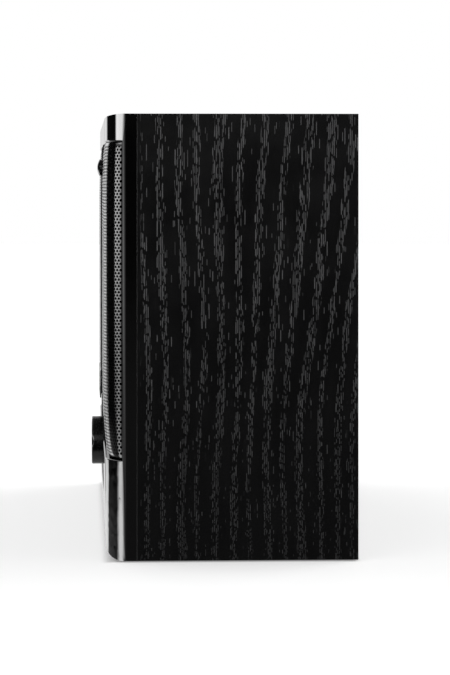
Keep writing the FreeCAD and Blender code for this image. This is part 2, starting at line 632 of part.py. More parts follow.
def knob():
    """Hollow-backed push knob with a softened rim."""
    y_back = Y_FASCIA - KNOB_TRAVEL - 0.4
    y_roof = Y_KNOB + 3.0
    hub_y = Y_BUSH - KNOB_TRAVEL - 0.2
    rim = 0.8
    start = V(0, Y_KNOB, KNOB_Z)

    def point(radius, y):
        return V(radius, y, KNOB_Z)

    bend = rim * (1 - math.sqrt(0.5))
    edges = [
        line(start, point(KNOB_R - rim, Y_KNOB)),
        Part.Arc(point(KNOB_R - rim, Y_KNOB), point(KNOB_R - bend, Y_KNOB + bend),
                 point(KNOB_R, Y_KNOB + rim)).toShape(),
        line(point(KNOB_R, Y_KNOB + rim), point(KNOB_R, y_back)),
        line(point(KNOB_R, y_back), point(KNOB_R - 2.2, y_back)),
        line(point(KNOB_R - 2.2, y_back), point(KNOB_R - 2.2, y_roof)),
        line(point(KNOB_R - 2.2, y_roof), point(4.8, y_roof)),
        line(point(4.8, y_roof), point(4.8, hub_y)),
        line(point(4.8, hub_y), point(0, hub_y)),
        line(point(0, hub_y), start),
    ]
    solid = turned_edges(edges, 0, KNOB_Z)
    dimple = V(KNOB_R - 1.5, Y_KNOB + DIMPLE_DEPTH - DIMPLE_R, KNOB_Z + 0.8)
    solid = solid.cut(Part.makeSphere(DIMPLE_R, dimple))
    return solid.cut(d_section(SHAFT_R, SHAFT_FLAT, Y_KNOB + 1.1, y_back))


def standby_button():
    """Round button with a domed face and a stem down to its switch."""
    rise = 1.2
    sphere = (STANDBY_R * STANDBY_R + rise * rise) / (2 * rise)
    cap = rod(0, STANDBY_Z, STANDBY_R, Y_KEY - rise - 1, Y_FASCIA_BACK - 0.6)
    cap = cap.common(Part.makeSphere(sphere, V(0, Y_KEY - rise + sphere, STANDBY_Z)))
    stem = rod(0, STANDBY_Z, 1.6, Y_FASCIA_BACK - 0.9, Y_STEM)
    return cap.fuse(stem)


def softened(cap, radius):
    """Rounds the rim of a key's face."""
    rims = [edge for edge in cap.Edges if edge.BoundBox.YMax < Y_KEY + 0.01]
    return cap.makeFillet(radius, rims)


def upper_key(x, z):
    """Full-depth key with a stem down to its switch."""
    cap = box(x - KEY_W / 2, x + KEY_W / 2, Y_KEY, Y_FASCIA_BACK + 0.4, z - UPPER_HALF, z + UPPER_HALF)
    return softened(cap, 0.5).fuse(rod(x, z, KEY_STEM_R, Y_FASCIA_BACK, Y_STEM))


def lower_key(x, z):
    """Thin key plate that stands off the fascia on its stem."""
    plate = box(x - KEY_W / 2, x + KEY_W / 2, Y_KEY, Y_KEY + 0.7, z - LOWER_HALF, z + LOWER_HALF)
    return softened(plate, 0.25).fuse(rod(x, z, KEY_STEM_R, Y_KEY + 0.4, Y_STEM))


# ---- rear panel, connectors and main board ----------------------------------------------------------------------
AUX_X, HEADPHONE_X, USB_X, DC_X = -30.0, -12.0, 9.0, 30.0
ROCKER_X, ROCKER_Z = 30.0, 74.0
BOARD_HALF = 42.0
BOARD_LOW, BOARD_HIGH = 22.0, 152.0
STANDOFFS = at_corners(37.0, 28.0, 146.0)
USB_W, USB_H = 14.0, 6.8
DC_W, DC_H = 9.0, 10.6
ROCKER_W, ROCKER_H = 13.0, 19.4


def rear_panel():
    """Panel with connector holes, vents and screw holes."""
    gap = 0.3
    panel = box(-INNER + gap, INNER - gap, Y_REAR_IN, Y_REAR, FLOOR_Z + gap, CEILING_Z - gap)
    for x, z in BLOCK_PLACES + PARTITION_PLACES:
        panel = panel.cut(rod(x, z, WOOD_SCREW[1] + 0.1, Y_REAR_IN, Y_REAR))
    for x in (AUX_X, HEADPHONE_X):
        panel = panel.cut(rod(x, CONNECTOR_Z, 3.1, Y_REAR_IN, Y_REAR))
    ports = ((USB_X, CONNECTOR_Z, USB_W, USB_H), (DC_X, CONNECTOR_Z, DC_W, DC_H),
             (ROCKER_X, ROCKER_Z, ROCKER_W, ROCKER_H))
    for x, z, width, height in ports:
        panel = panel.cut(box(x - width / 2 - 0.1, x + width / 2 + 0.1, Y_REAR_IN, Y_REAR,
                              z - height / 2 - 0.1, z + height / 2 + 0.1))
    for k in range(9):
        x = -28.0 + 7.0 * k
        panel = panel.cut(box(x - 1.2, x + 1.2, Y_REAR_IN, Y_REAR, 112, 146))
    return panel


def round_jack(x):
    """3.5 mm socket: a square body with a round collar through the panel."""
    body = box(x - 4, x + 4, Y_MAIN, Y_REAR_IN, CONNECTOR_Z - 4, CONNECTOR_Z + 4)
    body = body.fuse(rod(x, CONNECTOR_Z, 3.0, Y_REAR_IN - 1, Y_REAR + 1.0))
    return body.cut(rod(x, CONNECTOR_Z, JACK_R, Y_MAIN + 1.0, Y_REAR + 1.0))


def usb_port():
    """USB socket: folded shell and its tongue."""
    z = CONNECTOR_Z
    shell = box(USB_X - USB_W / 2, USB_X + USB_W / 2, Y_MAIN, Y_REAR + 0.5, z - USB_H / 2, z + USB_H / 2)
    shell = shell.cut(box(USB_X - 6.3, USB_X + 6.3, Y_MAIN + 2, Y_REAR + 0.5, z - 2.6, z + 2.6))
    return shell.fuse(box(USB_X - 5.6, USB_X + 5.6, Y_MAIN + 1, Y_REAR - 1, z + 0.3, z + 2.0))


def dc_jack():
    """Barrel power socket with its centre pin."""
    z = CONNECTOR_Z
    body = box(DC_X - DC_W / 2, DC_X + DC_W / 2, Y_MAIN, Y_REAR, z - DC_H / 2, z + DC_H / 2)
    body = body.cut(rod(DC_X, z, 2.75, Y_MAIN + 3, Y_REAR))
    return body.fuse(rod(DC_X, z, 1.05, Y_MAIN + 1, Y_REAR - 1))


ROCKER_PIVOT_Y = Y_REAR - 2.6
ROCKER_SWING = 16.0       # degrees from off to on
ROCKER_REACH = 8.5        # pivot to each tip of the rocker
PIN_R = 1.2


def rocker_frame():
    """Snap-in switch housing with a rim on the outside of the panel."""
    half_w, half_h = ROCKER_W / 2, ROCKER_H / 2
    y_deep = Y_MAIN + 1.0
    body = box(ROCKER_X - half_w, ROCKER_X + half_w, y_deep, Y_REAR, ROCKER_Z - half_h, ROCKER_Z + half_h)
    rim = box(ROCKER_X - half_w - 1, ROCKER_X + half_w + 1, Y_REAR, Y_REAR + 1.2,
              ROCKER_Z - half_h - 1, ROCKER_Z + half_h + 1)
    body = body.fuse(rim)
    well_w, well_h = 5.3, 8.8
    body = body.cut(box(ROCKER_X - well_w, ROCKER_X + well_w, y_deep + 1.5, Y_REAR + 2,
                        ROCKER_Z - well_h, ROCKER_Z + well_h))
    pin = Part.makeCylinder(PIN_R + RUNNING, 12.4, V(ROCKER_X - 6.2, ROCKER_PIVOT_Y, ROCKER_Z), V(1, 0, 0))
    return body.cut(pin)


def power_rocker():
    """Rocker with a shallow V face and two pivot pins, shown switched off."""
    half_w = 5.0
    outline = ((ROCKER_REACH, 66), (2.8, 0), (ROCKER_REACH, -66), (5.4, -118), (5.4, 118))
    points = []
    for reach, angle in outline:
        turn = math.radians(angle + ROCKER_SWING / 2)
        points.append(V(ROCKER_X - half_w, ROCKER_PIVOT_Y + reach * math.cos(turn),
                        ROCKER_Z + reach * math.sin(turn)))
    body = polygon(points, V(2 * half_w, 0, 0))
    pin = Part.makeCylinder(PIN_R, 12.0, V(ROCKER_X - 6.0, ROCKER_PIVOT_Y, ROCKER_Z), V(1, 0, 0))
    return body.fuse(pin)


def main_board():
    board = box(-BOARD_HALF, BOARD_HALF, Y_MAIN - BOARD_THICK, Y_MAIN, BOARD_LOW, BOARD_HIGH)
    for x, z in STANDOFFS:
        board = board.cut(rod(x, z, MACHINE_SCREW[1] + 0.15, Y_MAIN - BOARD_THICK, Y_MAIN))
    return board


def board_components():
    """Chips, screened radio module, capacitors and a coil on the main board's front."""
    y = Y_MAIN - BOARD_THICK
    chips = ((-22, 60, 16, 16, 1.6), (8, 62, 12, 9, 1.2), (-24, 90, 20, 12, 2.4), (6, 88, 10, 10, 1.4))
    pieces = [box(x - w / 2, x + w / 2, y - high, y, z - d / 2, z + d / 2) for x, z, w, d, high in chips]
    for k in range(4):
        pieces.append(rod(-24 + 15 * k, 34, 5.0, y - 12.5, y))
    pieces.append(rod(28, 88, 6.0, y - 8, y).cut(rod(28, 88, 2.6, y - 8, y - 2)))
    return Part.makeCompound(pieces)


def amp_heatsink():
    """Finned extrusion on the amplifier chip."""
    y = Y_MAIN - BOARD_THICK
    block = box(-24, 24, y - 3, y, 104, 136)
    fins = [box(-24 + 6.6 * k, -22.4 + 6.6 * k, y - 16, y - 2.9, 104, 136) for k in range(8)]
    return block.multiFuse(fins).removeSplitter()


def board_standoffs():
    posts = []
    for x, z in STANDOFFS:
        post = rod(x, z, 2.6, Y_MAIN, Y_REAR_IN)
        posts.append(post.cut(rod(x, z, MACHINE_SCREW[1], Y_MAIN, Y_MAIN + 7)))
    return Part.makeCompound(posts)


def board_screws():
    """Small machine screws: bezel from behind the baffle, front board, and main board."""
    screws = [screw(x, z, Y_BAFFLE_BACK, -1, MACHINE_SCREW, BAFFLE_THICK + 6.5) for x, z in BEZEL_BOSSES]
    y_front_board = Y_BOARD + BOARD_THICK
    screws += [screw(x, z, y_front_board, -1, MACHINE_SCREW, 8.0) for x, z in FASCIA_BOSSES]
    screws += [screw(x, z, Y_MAIN - BOARD_THICK, 1, MACHINE_SCREW, 8.0) for x, z in STANDOFFS]
    return Part.makeCompound(screws)


# ---- write every node ----------------------------------------------------------------------------------------------
for panel_side in ("left", "right", "top", "bottom"):
    save("cabinet_%s_panel" % panel_side, cabinet_panel(panel_side))
save("corner_blocks", corner_blocks())
save("cabinet_screws", cabinet_screws())
save("feet", feet())
save("front_bezel", front_bezel())
save("front_baffle", front_baffle())
for word, sign in SIDES:
    centre_x = sign * DRIVER_X
    save("partition_" + word, partition(sign))
    save("grille_" + word, grille(sign))
    save("driver_basket_" + word, driver_basket(centre_x))
    save("driver_surround_" + word, driver_surround(centre_x))
    save("driver_cone_" + word, driver_cone(centre_x))
    save("dust_cap_" + word, dust_cap(centre_x))
    save("voice_coil_" + word, voice_coil(centre_x))
    save("driver_spider_" + word, driver_spider(centre_x))
    save("driver_magnet_" + word, driver_magnet(centre_x))
save("driver_screws", driver_screws())
save("centre_fascia", centre_fascia())
save("display_lens", display_lens())
save("display_module", display_module())
save("front_board", front_board())
save("tact_switches", tact_switches())
save("encoder_body", encoder_body())
save("encoder_nut", encoder_nut())
save("encoder_rotor", encoder_rotor())
save("encoder_shaft", encoder_shaft())
save("knob", knob())
save("standby_button", standby_button())
for column_word, column_x in KEY_COLUMNS:
    save("key_upper_" + column_word, upper_key(column_x, KEY_ROWS[0]))
    save("key_lower_" + column_word, lower_key(column_x, KEY_ROWS[1]))
save("rear_panel", rear_panel())
save("aux_jack", round_jack(AUX_X))
save("headphone_jack", round_jack(HEADPHONE_X))
save("usb_port", usb_port())
save("dc_jack", dc_jack())
save("rocker_frame", rocker_frame())
save("power_rocker", power_rocker())
save("main_board", main_board())
save("board_components", board_components())
save("amp_heatsink", amp_heatsink())
save("board_standoffs", board_standoffs())
save("board_screws", board_screws())
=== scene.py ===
"""Looks of a table-top audio player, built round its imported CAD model.

Metres.  +Z is up, the front faces -Y, and the origin is under the middle of the object, on the floor."""

import json
import math

import bmesh
import bpy
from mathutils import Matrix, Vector


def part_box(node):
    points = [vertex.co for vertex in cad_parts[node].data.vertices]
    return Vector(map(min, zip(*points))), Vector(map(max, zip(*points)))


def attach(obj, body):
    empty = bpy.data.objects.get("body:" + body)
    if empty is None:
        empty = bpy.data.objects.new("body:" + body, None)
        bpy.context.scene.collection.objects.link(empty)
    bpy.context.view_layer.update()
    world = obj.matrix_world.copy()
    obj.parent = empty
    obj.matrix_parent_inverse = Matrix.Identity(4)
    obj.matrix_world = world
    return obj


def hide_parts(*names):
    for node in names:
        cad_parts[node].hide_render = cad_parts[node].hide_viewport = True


MM = 0.001

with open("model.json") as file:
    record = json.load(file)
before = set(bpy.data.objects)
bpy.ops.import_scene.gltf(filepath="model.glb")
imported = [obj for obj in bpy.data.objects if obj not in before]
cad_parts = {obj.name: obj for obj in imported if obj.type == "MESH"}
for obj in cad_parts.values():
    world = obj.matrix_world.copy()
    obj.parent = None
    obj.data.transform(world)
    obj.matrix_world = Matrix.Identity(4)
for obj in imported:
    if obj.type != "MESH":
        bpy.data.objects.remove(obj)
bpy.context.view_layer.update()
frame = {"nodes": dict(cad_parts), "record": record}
cad = frame["nodes"]
slot_of = {part["node"]: part["material_slot"] for part in frame["record"]["subparts"]}


# ---- a small language for materials and lights ---------------------------------------------------
class Graph:
    """A node tree and short ways to add to it."""

    def node(self, kind, settings=None, **inputs):
        """A node with its settings and inputs.  Inputs are named, or numbered as i0, i1 and so on.

        An input is linked when its value is a socket, and set when it is a number or a colour."""
        made = self.tree.nodes.new(kind)
        for key, value in (settings or {}).items():
            setattr(made, key, value)
        for key, value in inputs.items():
            numbered = key[0] == "i" and key[1:].isdigit()
            socket = made.inputs[int(key[1:]) if numbered else key]
            if isinstance(value, bpy.types.NodeSocket):
                self.tree.links.new(value, socket)
            else:
                socket.default_value = value
        return made

    def maths(self, operation, a, b=0.0):
        return self.node("ShaderNodeMath", {"operation": operation}, i0=a, i1=b).outputs[0]

    def levels(self, value, start, end, low=0.0, high=1.0, smooth=True):
        """value from start..end carried to low..high and held there outside."""
        settings = {"interpolation_type": "SMOOTHSTEP" if smooth else "LINEAR"}
        keys = {"From Min": start, "From Max": end, "To Min": low, "To Max": high}
        return self.node("ShaderNodeMapRange", settings, Value=value, **keys).outputs["Result"]


class Recipe(Graph):
    """One procedural material: a Principled shader and the nodes that feed it."""

    def __init__(self, name, **fixed):
        self.material = bpy.data.materials.new(name)
        self.material.use_nodes = True
        self.tree = self.material.node_tree
        self.shader = self.tree.nodes["Principled BSDF"]
        for socket, value in fixed.items():
            self.shader.inputs[socket.replace("_", " ")].default_value = value
        here = self.tree.nodes.new("ShaderNodeTexCoord")
        self.place, self.normal = here.outputs["Object"], here.outputs["Normal"]

    def stretched(self, scale):
        """Coordinates with each axis multiplied: a small number stretches the pattern along it."""
        return self.node("ShaderNodeMapping", Vector=self.place, Scale=scale).outputs[0]

    def noise(self, feature, detail=3.0, place=None, rough=0.5):
        """Noise with features of about that many metres."""
        return self.node("ShaderNodeTexNoise", Vector=place or self.place, Scale=1 / feature,
                         Detail=detail, Roughness=rough).outputs["Fac"]

    def cells(self, feature, place=None, kind="F1"):
        """Distance to the nearest point of a scatter with cells of about that many metres."""
        return self.node("ShaderNodeTexVoronoi", {"feature": kind}, Vector=place or self.place,
                         Scale=1 / feature).outputs["Distance"]

    def mixed(self, share, a, b):
        """Colour a where share is 0 and b where it is 1."""
        return self.node("ShaderNodeMix", {"data_type": "RGBA"}, i0=share, i6=a, i7=b).outputs[2]

    def axis(self, name):
        return self.node("ShaderNodeSeparateXYZ", Vector=self.place).outputs[name]

    def drive(self, name, socket):
        """Feeds one of the shader's inputs."""
        self.tree.links.new(socket, self.shader.inputs[name])

    def colour(self, socket):
        self.drive("Base Color", socket)

    def roughness(self, socket):
        self.drive("Roughness", socket)

    def relief(self, height, depth, strength=1.0):
        """Bump whose full height is depth metres."""
        bump = self.node("ShaderNodeBump", Height=height, Distance=depth, Strength=strength)
        self.drive("Normal", bump.outputs[0])


def grey(value):
    return (value, value, value, 1.0)


PORE_LAYERS = ((0.8 * MM, 1.0, 1.0), (0.69 * MM, 1.9, 0.7))   # column width, rate of cuts, strength
RING_WIDTH = 9.8 * MM
RING_UNEVENNESS = 7.0         # radians between a ring at its earliest and at its latest
WANDER = 3 * MM               # how far the figure strays sideways
BOARD_SHIFT = 0.37            # share of a board's distance out that shifts its figure, so that they differ
PORE_TONE = (0.071, 0.071, 0.073, 1)
COLUMN_SHIFT = 9.0            # rows by which columns can be out of step


def veneer(name, along, across, face, offset, cuts):
    """Open-grained wood under black satin lacquer.

    along and across are axes of the board's face, and face is the axis it looks along.  offset makes
    along positive all over the board; the vessels grow longer with it, and cuts sets how short they are."""
    m = Recipe(name, Roughness=0.18, IOR=1.45)
    board = m.maths("MULTIPLY", m.axis(face), BOARD_SHIFT)
    v = m.axis(along)
    # the figure draws together towards one end and wanders
    spread = m.levels(v, 0.06, 0.21, 1.3, 1.0)
    u = m.maths("ADD", m.maths("MULTIPLY", m.axis(across), spread), board)
    u = m.maths("ADD", u, m.levels(m.noise(130 * MM, 1.0), 0.3, 0.7, -WANDER, WANDER, False))
    # growth rings, uneven in their spacing; their early wood is full of pores
    flow = m.node("ShaderNodeCombineXYZ", X=u, Y=m.maths("MULTIPLY", v, 0.12), Z=board).outputs[0]
    uneven = m.maths("MULTIPLY", m.maths("SUBTRACT", m.noise(20 * MM, 1.0, flow), 0.5), RING_UNEVENNESS)
    ring = m.maths("SINE", m.maths("ADD", m.maths("MULTIPLY", u, math.tau / RING_WIDTH), uneven))
    ragged = m.levels(m.noise(4 * MM, 2.0, flow), 0.3, 0.7, -0.35, 0.35, False)
    density = m.levels(m.maths("ADD", ring, ragged), 0.0, 0.8, 0.03, 0.62)
    pore = None
    rows = m.maths("MULTIPLY", m.maths("LOGARITHM", m.maths("ADD", v, offset), math.e), cuts)
    for width, rate, strength in PORE_LAYERS:
        # vessels lie in columns; every column is cut into lengths, and some of those are open
        column = m.maths("ADD", m.maths("DIVIDE", m.axis(across), width), rate)
        number = m.maths("FLOOR", column)
        start = m.node("ShaderNodeTexWhiteNoise", {"noise_dimensions": "1D"}, W=number).outputs["Value"]
        row = m.maths("ADD", m.maths("MULTIPLY", rows, rate), m.maths("MULTIPLY", start, COLUMN_SHIFT))
        spot = m.node("ShaderNodeCombineXYZ", X=number, Y=m.maths("FLOOR", row)).outputs[0]
        draw = m.node("ShaderNodeTexWhiteNoise", {"noise_dimensions": "2D"}, Vector=spot)
        lot = m.node("ShaderNodeSeparateColor", Color=draw.outputs["Color"])
        from_middle = m.maths("ABSOLUTE", m.maths("SUBTRACT", m.maths("FRACT", row), 0.5))
        reach = m.levels(lot.outputs["Green"], 0.0, 1.0, 0.2, 0.52, False)
        ends = m.levels(m.maths("SUBTRACT", from_middle, reach), -0.08, 0.02, 1.0, 0.0)
        sway = m.levels(lot.outputs["Blue"], 0.0, 1.0, 0.47, 0.53, False)
        off_axis = m.maths("ABSOLUTE", m.maths("SUBTRACT", m.maths("FRACT", column), sway))
        dash = m.maths("MULTIPLY", ends, m.levels(off_axis, 0.14, 0.34, 1.0, 0.0))
        is_open = m.levels(m.maths("SUBTRACT", lot.outputs["Red"], density), 0.0, 0.02, 1.0, 0.0)
        tone = m.levels(start, 0.0, 1.0, strength * 0.6, strength, False)
        dash = m.maths("MULTIPLY", m.maths("MULTIPLY", dash, is_open), tone)
        pore = dash if pore is None else m.maths("MAXIMUM", pore, dash)
    # only the board's face is veneered; its pores are left out near the front edge, which paints shade along
    # the joint with the bezel, and they fade out towards the floor, so the wood is darker towards the bottom
    tilt = m.node("ShaderNodeSeparateXYZ", Vector=m.normal).outputs[face]
    veneered = m.levels(m.maths("ABSOLUTE", tilt), 0.6, 0.8)
    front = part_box("cabinet_right_panel")[0].y
    # no pores within a few millimetres of the front edge: painted shade at the joint with the bezel
    clear = m.levels(m.axis("Y"), front + 0.5 * MM, front + 3 * MM)
    # fewer pores towards the floor: the wood is darker towards the bottom
    bottom_fade = m.levels(m.axis("Z"), 0.0, 0.17, 0.38, 1.0)
    pore = m.maths("MULTIPLY", m.maths("MULTIPLY", pore, clear), m.maths("MULTIPLY", bottom_fade, veneered))
    ground = m.mixed(m.levels(m.noise(6 * MM, 3.0, flow), 0.3, 0.7), (0.0008, 0.0008, 0.0009, 1),
                     (0.0018, 0.0018, 0.0019, 1))
    m.colour(m.mixed(pore, ground, PORE_TONE))
    haze = m.levels(m.noise(20 * MM), 0.3, 0.7, 0.15, 0.21)
    m.roughness(m.maths("ADD", haze, m.maths("MULTIPLY", pore, 0.25)))
    m.relief(m.maths("SUBTRACT", m.levels(m.noise(0.6 * MM), 0.3, 0.7, 0.0, 0.1), pore), 0.03 * MM, 0.4)
    return m.material


def gloss_black():
    """Polished moulding: deep black with the slightest orange peel and polishing haze."""
    m = Recipe("gloss_black", Roughness=0.05, IOR=1.6)
    haze = m.noise(12 * MM, 4.0)
    m.colour(m.mixed(haze, grey(0.0002), grey(0.0006)))
    scratch = m.noise(0.9 * MM, 2.0, m.stretched((1, 1, 0.05)))
    polish = m.levels(haze, 0.3, 0.7, 0.035, 0.06)
    m.roughness(m.maths("ADD", polish, m.levels(scratch, 0.72, 0.8, 0.0, 0.05)))
    m.relief(m.noise(5 * MM, 1.0), 0.03 * MM, 0.25)
    return m.material


def moulded(name, shade, rough, grain, depth):
    """Moulded plastic with a fine spark-eroded texture."""
    m = Recipe(name, Roughness=rough, IOR=1.5)
    grains = m.noise(grain, 3.0)
    clouds = m.noise(20 * MM, 2.0)
    m.colour(m.mixed(clouds, grey(shade * 0.85), grey(shade * 1.2)))
    m.roughness(m.levels(grains, 0.3, 0.7, rough - 0.07, rough + 0.09))
    m.relief(grains, depth)
    return m.material


def painted_mesh():
    """Satin black paint on perforated steel, with a powder-coat ripple."""
    m = Recipe("grille_metal", Roughness=0.1, IOR=1.4)
    ripple = m.noise(0.5 * MM, 2.0)
    clouds = m.noise(15 * MM, 2.0)
    m.colour(m.mixed(clouds, grey(0.0006), grey(0.0014)))
    m.roughness(m.levels(ripple, 0.3, 0.7, 0.07, 0.14))
    m.relief(ripple, 0.006 * MM, 0.6)
    return m.material


def rubbed_metal(name, tone, rough, along, stretch=0.03):
    """Metal with fine rubbed lines along one axis; a small stretch makes them long."""
    m = Recipe(name, Metallic=1.0, Roughness=rough)
    scale = tuple(stretch if axis == along else 1.0 for axis in "XYZ")
    lines = m.noise(0.18 * MM, 3.0, m.stretched(scale))
    stain = m.noise(10 * MM, 3.0)
    dark = tuple(channel * 0.72 for channel in tone) + (1,)
    m.colour(m.mixed(m.levels(stain, 0.3, 0.7, 0.25, 0.9), dark, tuple(tone) + (1,)))
    m.roughness(m.levels(lines, 0.3, 0.7, rough - 0.08, rough + 0.12))
    m.relief(lines, 0.012 * MM, 0.7)
    return m.material


def fibreboard():
    """Medium-density board: pressed fibres, brown, its front face sprayed black."""
    m = Recipe("fibreboard", Roughness=0.85)
    fibres = m.noise(1.2 * MM, 5.0, m.stretched((1, 0.35, 1)))
    flecks = m.cells(1.6 * MM)
    tone = m.levels(m.maths("ADD", fibres, m.maths("MULTIPLY", flecks, 0.3)), 0.35, 0.85)
    raw = m.mixed(tone, (0.20, 0.12, 0.06, 1), (0.36, 0.25, 0.14, 1))
    sprayed_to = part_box("front_baffle")[0].y + 0.3 * MM
    spray = m.levels(m.axis("Y"), sprayed_to, sprayed_to + 0.6 * MM, 1.0, 0.0)
    m.colour(m.mixed(spray, raw, grey(0.006)))
    m.roughness(m.levels(fibres, 0.3, 0.7, 0.75, 0.95))
    m.relief(fibres, 0.12 * MM)
    return m.material


def smoked_lens():
    """Dark tinted acrylic, clear enough to show the display behind it."""
    m = Recipe("smoked_lens", Roughness=0.03, IOR=1.49, Transmission_Weight=1.0)
    smudge = m.noise(11 * MM, 4.0)
    m.colour(m.mixed(smudge, (0.20, 0.20, 0.22, 1), (0.25, 0.25, 0.27, 1)))
    m.roughness(m.levels(smudge, 0.35, 0.75, 0.02, 0.07))
    m.relief(m.noise(8 * MM, 1.0), 0.02 * MM, 0.15)
    return m.material


def display_panel():
    """Display glass with its cell grid, in a stamped metal frame."""
    m = Recipe("display", Roughness=0.25)
    grid = m.stretched((1, 0, 1))
    pixels = m.cells(0.4 * MM, grid)
    glass_half = 31 * MM
    inside = m.levels(m.maths("ABSOLUTE", m.axis("X")), glass_half, glass_half + 0.2 * MM, 1.0, 0.0)
    dark = m.mixed(m.levels(pixels, 0.2, 0.6), (0.004, 0.005, 0.008, 1), (0.010, 0.012, 0.018, 1))
    m.colour(m.mixed(inside, (0.09, 0.09, 0.095, 1), dark))
    m.roughness(m.levels(m.noise(4 * MM), 0.3, 0.7, 0.16, 0.30))
    m.relief(pixels, 0.01 * MM, 0.4)
    return m.material


def circuit_board():
    """Green solder mask over copper tracks, with plated pads."""
    m = Recipe("circuit_board", Roughness=0.32, IOR=1.5)
    flat = m.stretched((1, 0, 1))
    bend = m.noise(12 * MM, 0.0, flat)
    aside = m.maths("MULTIPLY", m.levels(bend, 0.45, 0.55, 0.0, 1.0, False), 6 * MM)
    run = m.maths("ADD", m.axis("X"), aside)
    wave = m.maths("ABSOLUTE", m.maths("SINE", m.maths("MULTIPLY", run, math.pi / (1.7 * MM))))
    track = m.levels(wave, 0.8, 0.9)
    where = m.levels(m.noise(14 * MM, 1.0, flat), 0.48, 0.52)
    track = m.maths("MULTIPLY", track, where)
    pads = m.levels(m.cells(4.2 * MM, flat), 0.16, 0.19, 1.0, 0.0)
    green = m.mixed(track, (0.006, 0.045, 0.018, 1), (0.012, 0.095, 0.036, 1))
    m.colour(m.mixed(pads, green, (0.52, 0.47, 0.33, 1)))
    m.roughness(m.levels(pads, 0.0, 1.0, 0.3, 0.42))
    m.relief(m.maths("ADD", track, pads), 0.03 * MM)
    return m.material


def component_body():
    """Black epoxy packages and sleeves with a faint matt grain."""
    m = Recipe("component_black", Roughness=0.5)
    grain = m.noise(0.3 * MM, 3.0)
    sleeve = m.noise(9 * MM, 1.0)
    m.colour(m.mixed(m.levels(sleeve, 0.4, 0.6), grey(0.012), grey(0.03)))
    m.roughness(m.levels(grain, 0.3, 0.7, 0.4, 0.62))
    m.relief(grain, 0.03 * MM)
    return m.material


def copper_coil():
    """Enamelled wire wound round the coil tube: fine rings along its axis."""
    m = Recipe("coil_copper", Metallic=0.85, Roughness=0.3)
    rings = m.maths("SINE", m.maths("MULTIPLY", m.axis("Y"), math.tau / (0.3 * MM)))
    stain = m.noise(4 * MM)
    m.colour(m.mixed(stain, (0.42, 0.15, 0.06, 1), (0.66, 0.29, 0.14, 1)))
    m.roughness(m.levels(stain, 0.3, 0.7, 0.25, 0.4))
    m.relief(m.levels(rings, -1, 1), 0.08 * MM)
    return m.material


def rubber(name, shade):
    """Moulded rubber with a dusty bloom."""
    m = Recipe(name, Roughness=0.6, IOR=1.45)
    bloom = m.noise(6 * MM, 4.0)
    m.colour(m.mixed(m.levels(bloom, 0.35, 0.8), grey(shade), grey(shade * 1.9)))
    m.roughness(m.levels(bloom, 0.3, 0.7, 0.48, 0.72))
    m.relief(m.noise(0.4 * MM, 3.0), 0.02 * MM)
    return m.material


def cone_paper():
    """Pressed black paper: matted fibres."""
    m = Recipe("cone_paper", Roughness=0.8)
    fibres = m.noise(0.9 * MM, 6.0, None, 0.7)
    strands = m.cells(1.4 * MM, None, "SMOOTH_F1")
    m.colour(m.mixed(m.levels(fibres, 0.35, 0.7), grey(0.010), grey(0.030)))
    m.roughness(m.levels(strands, 0.2, 0.8, 0.7, 0.9))
    m.relief(m.maths("ADD", fibres, m.maths("MULTIPLY", strands, 0.5)), 0.12 * MM)
    return m.material


def spider_cloth():
    """Woven cloth stiffened with resin."""
    m = Recipe("spider_cloth", Roughness=0.75)
    warp = m.maths("SINE", m.maths("MULTIPLY", m.axis("X"), math.tau / (0.8 * MM)))
    weft = m.maths("SINE", m.maths("MULTIPLY", m.axis("Z"), math.tau / (0.8 * MM)))
    weave = m.levels(m.maths("MULTIPLY", warp, weft), -1, 1)
    m.colour(m.mixed(weave, (0.30, 0.18, 0.06, 1), (0.55, 0.38, 0.16, 1)))
    m.roughness(m.levels(weave, 0.0, 1.0, 0.65, 0.85))
    m.relief(weave, 0.12 * MM)
    return m.material


def ferrite():
    """Sintered ferrite ring between zinc-plated plates, told apart by their place along the axis."""
    m = Recipe("ferrite", Roughness=0.6)
    plate_thick, blend = 4 * MM, 0.1 * MM
    ring_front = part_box("driver_magnet_right")[0].y + plate_thick
    ring_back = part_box("driver_magnet_right")[1].y - plate_thick
    inside = m.maths("MULTIPLY", m.levels(m.axis("Y"), ring_front - blend, ring_front + blend),
                     m.levels(m.axis("Y"), ring_back - blend, ring_back + blend, 1.0, 0.0))
    pits = m.noise(0.8 * MM, 5.0, None, 0.65)
    core = m.mixed(pits, grey(0.022), grey(0.055))
    plate = m.mixed(m.noise(10 * MM), (0.42, 0.42, 0.44, 1), (0.56, 0.56, 0.58, 1))
    m.colour(m.mixed(inside, plate, core))
    m.drive("Metallic", m.maths("SUBTRACT", 1.0, inside))
    m.roughness(m.levels(pits, 0.3, 0.7, 0.35, 0.65))
    m.relief(pits, 0.06 * MM)
    return m.material


def printed_ink(name, tone):
    """Screen-printed ink: slightly raised, with an uneven film."""
    m = Recipe(name, Roughness=0.55)
    film = m.noise(0.5 * MM, 3.0)
    dark = tuple(channel * 0.8 for channel in tone) + (1,)
    m.colour(m.mixed(m.levels(film, 0.3, 0.7), dark, tuple(tone) + (1,)))
    m.roughness(m.levels(film, 0.3, 0.7, 0.45, 0.65))
    m.relief(film, 0.01 * MM)
    return m.material


